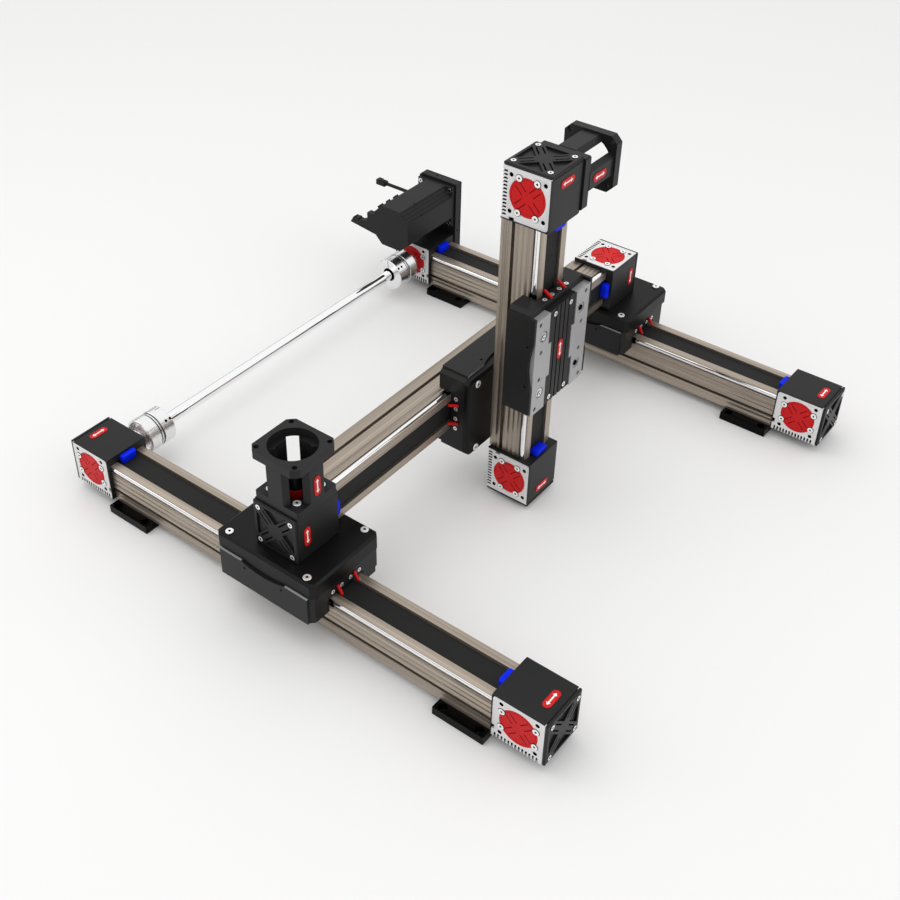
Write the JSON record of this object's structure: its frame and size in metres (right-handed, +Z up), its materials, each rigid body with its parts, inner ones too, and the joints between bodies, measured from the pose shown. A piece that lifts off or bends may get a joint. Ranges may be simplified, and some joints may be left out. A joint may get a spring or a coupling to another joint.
{
  "type": "xyz linear actuator",
  "caption": "Cartesian positioning gantry of belt-driven linear modules with servo, cross shaft and upright tool carriage.",
  "frame": {"origin": "on the floor at the centre of the four feet's bolt pattern", "axes": "+X along the rails towards the idler ends, +Y from the near rail to the far rail, +Z up"},
  "size_m": [0.717, 0.6958, 0.422],
  "materials": {
    "champagne_anodised": "satin anodised, warm grey",
    "black_anodised": "matt black anodised",
    "silver_plate": "clear anodised sheet",
    "strip_grey": "matt milled",
    "red_cover": "satin red",
    "blue_bumper": "soft blue",
    "black_belt": "matt toothed belt",
    "chrome_rod": "hard chromed and ground",
    "bright_steel": "turned",
    "red_coupling": "red elastomer between bright hubs",
    "servo_black": "cast, painted black",
    "cable_black": "black jacket"
  },
  "bodies": {
    "base": {"near_rail_profile": "champagne_anodised", "far_rail_profile": "champagne_anodised", "rail_guide_rods": "chrome_rod", "rail_housings": "black_anodised", "rail_side_plates": "silver_plate", "rail_bearing_covers": "red_cover", "rail_end_caps": "black_anodised", "rail_bumpers": "blue_bumper", "rail_belts": "black_belt", "rail_feet": "black_anodised", "servo_motor": "servo_black", "servo_cable": "cable_black", "servo_plug": "cable_black", "pulley_box": "black_anodised", "pulley_box_lid": "black_anodised", "reduction_belt": "black_belt"},
    "drive_line": {"cross_shaft": "chrome_rod", "shaft_couplings": "chrome_rod", "rail_drive_pulleys": "bright_steel", "driven_timing_pulley": "bright_steel"},
    "servo_rotor": {"servo_timing_pulley": "bright_steel"},
    "near_idler": {"near_idler_pulley": "bright_steel"},
    "far_idler": {"far_idler_pulley": "bright_steel"},
    "gantry": {"y_carriages": "black_anodised", "y_side_covers": "black_anodised", "y_guide_rollers": "bright_steel", "y_adapter_plates": "black_anodised", "y_wipers": "red_cover", "beam_dark_plates": "black_anodised", "beam_profile": "champagne_anodised", "beam_guide_rods": "chrome_rod", "beam_housings": "black_anodised", "beam_side_plates": "silver_plate", "beam_bearing_covers": "red_cover", "beam_end_caps": "black_anodised", "beam_bumpers": "blue_bumper", "beam_belt": "black_belt", "beam_motor_bell": "black_anodised"},
    "beam_drive": {"beam_drive_pulley": "bright_steel", "beam_motor_coupling": "red_coupling"},
    "beam_idler": {"beam_idler_pulley": "bright_steel"},
    "x_head": {"x_wipers": "red_cover", "z_dark_plate": "black_anodised", "x_carriage": "black_anodised", "x_side_covers": "black_anodised", "x_guide_rollers": "bright_steel", "x_adapter_plate": "black_anodised", "z_profile": "champagne_anodised", "z_guide_rods": "chrome_rod", "z_housings": "black_anodised", "z_side_plates": "silver_plate", "z_bearing_covers": "red_cover", "z_end_caps": "black_anodised", "z_bumpers": "blue_bumper", "z_belt": "black_belt", "z_motor_bell": "black_anodised"},
    "z_drive": {"z_drive_pulley": "bright_steel", "z_motor_coupling": "red_coupling"},
    "z_idler": {"z_idler_pulley": "bright_steel"},
    "z_head": {"z_wipers": "red_cover", "z_carriage": "black_anodised", "z_side_covers": "black_anodised", "z_guide_rollers": "bright_steel", "z_mounting_strips": "strip_grey", "z_centre_cover": "black_anodised"}
  },
  "joints": [
    {"name": "x_slide", "type": "slide", "parent": "base", "child": "gantry", "axis": [1, 0, 0], "range_m": [-0.1915, 0.1915]},
    {"name": "y_slide", "type": "slide", "parent": "gantry", "child": "x_head", "axis": [0, 1, 0], "range_m": [-0.17, 0.182]},
    {"name": "z_slide", "type": "slide", "parent": "x_head", "child": "z_head", "axis": [0, 0, 1], "range_m": [-0.078, 0.072]},
    {"name": "drive_line_spin", "type": "hinge", "parent": "base", "child": "drive_line", "pos_m": [-0.2935, 0, 0.042], "axis": [0, 1, 0], "range_deg": [-867, 867]},
    {"name": "servo_spin", "type": "hinge", "parent": "base", "child": "servo_rotor", "pos_m": [-0.2935, 0.33, 0.113], "axis": [0, 1, 0], "range_deg": [-1729, 1729]},
    {"name": "near_idler_spin", "type": "hinge", "parent": "base", "child": "near_idler", "pos_m": [0.2935, -0.2945, 0.042], "axis": [0, 1, 0], "range_deg": [-867, 867]},
    {"name": "far_idler_spin", "type": "hinge", "parent": "base", "child": "far_idler", "pos_m": [0.2935, 0.2945, 0.042], "axis": [0, 1, 0], "range_deg": [-867, 867]},
    {"name": "beam_drive_spin", "type": "hinge", "parent": "gantry", "child": "beam_drive", "pos_m": [0.008, -0.3, 0.1245], "axis": [0, 0, 1], "range_deg": [-770, 824]},
    {"name": "beam_idler_spin", "type": "hinge", "parent": "gantry", "child": "beam_idler", "pos_m": [0.008, 0.282, 0.1245], "axis": [0, 0, 1], "range_deg": [-770, 824]},
    {"name": "z_drive_spin", "type": "hinge", "parent": "x_head", "child": "z_drive", "pos_m": [0.083, -0.006, 0.3905], "axis": [0, -1, 0], "range_deg": [-356, 329]},
    {"name": "z_idler_spin", "type": "hinge", "parent": "x_head", "child": "z_idler", "pos_m": [0.083, -0.006, 0.0365], "axis": [0, -1, 0], "range_deg": [-356, 329]}
  ],
  "couplings": [
    {"joint": "drive_line_spin", "follows": "x_slide", "rad_per_m": 78.555},
    {"joint": "servo_spin", "follows": "x_slide", "rad_per_m": 157.11},
    {"joint": "near_idler_spin", "follows": "x_slide", "rad_per_m": 78.555},
    {"joint": "far_idler_spin", "follows": "x_slide", "rad_per_m": 78.555},
    {"joint": "beam_drive_spin", "follows": "y_slide", "rad_per_m": 78.555},
    {"joint": "beam_idler_spin", "follows": "y_slide", "rad_per_m": 78.555},
    {"joint": "z_drive_spin", "follows": "z_slide", "rad_per_m": 78.555},
    {"joint": "z_idler_spin", "follows": "z_slide", "rad_per_m": 78.555}
  ]
}
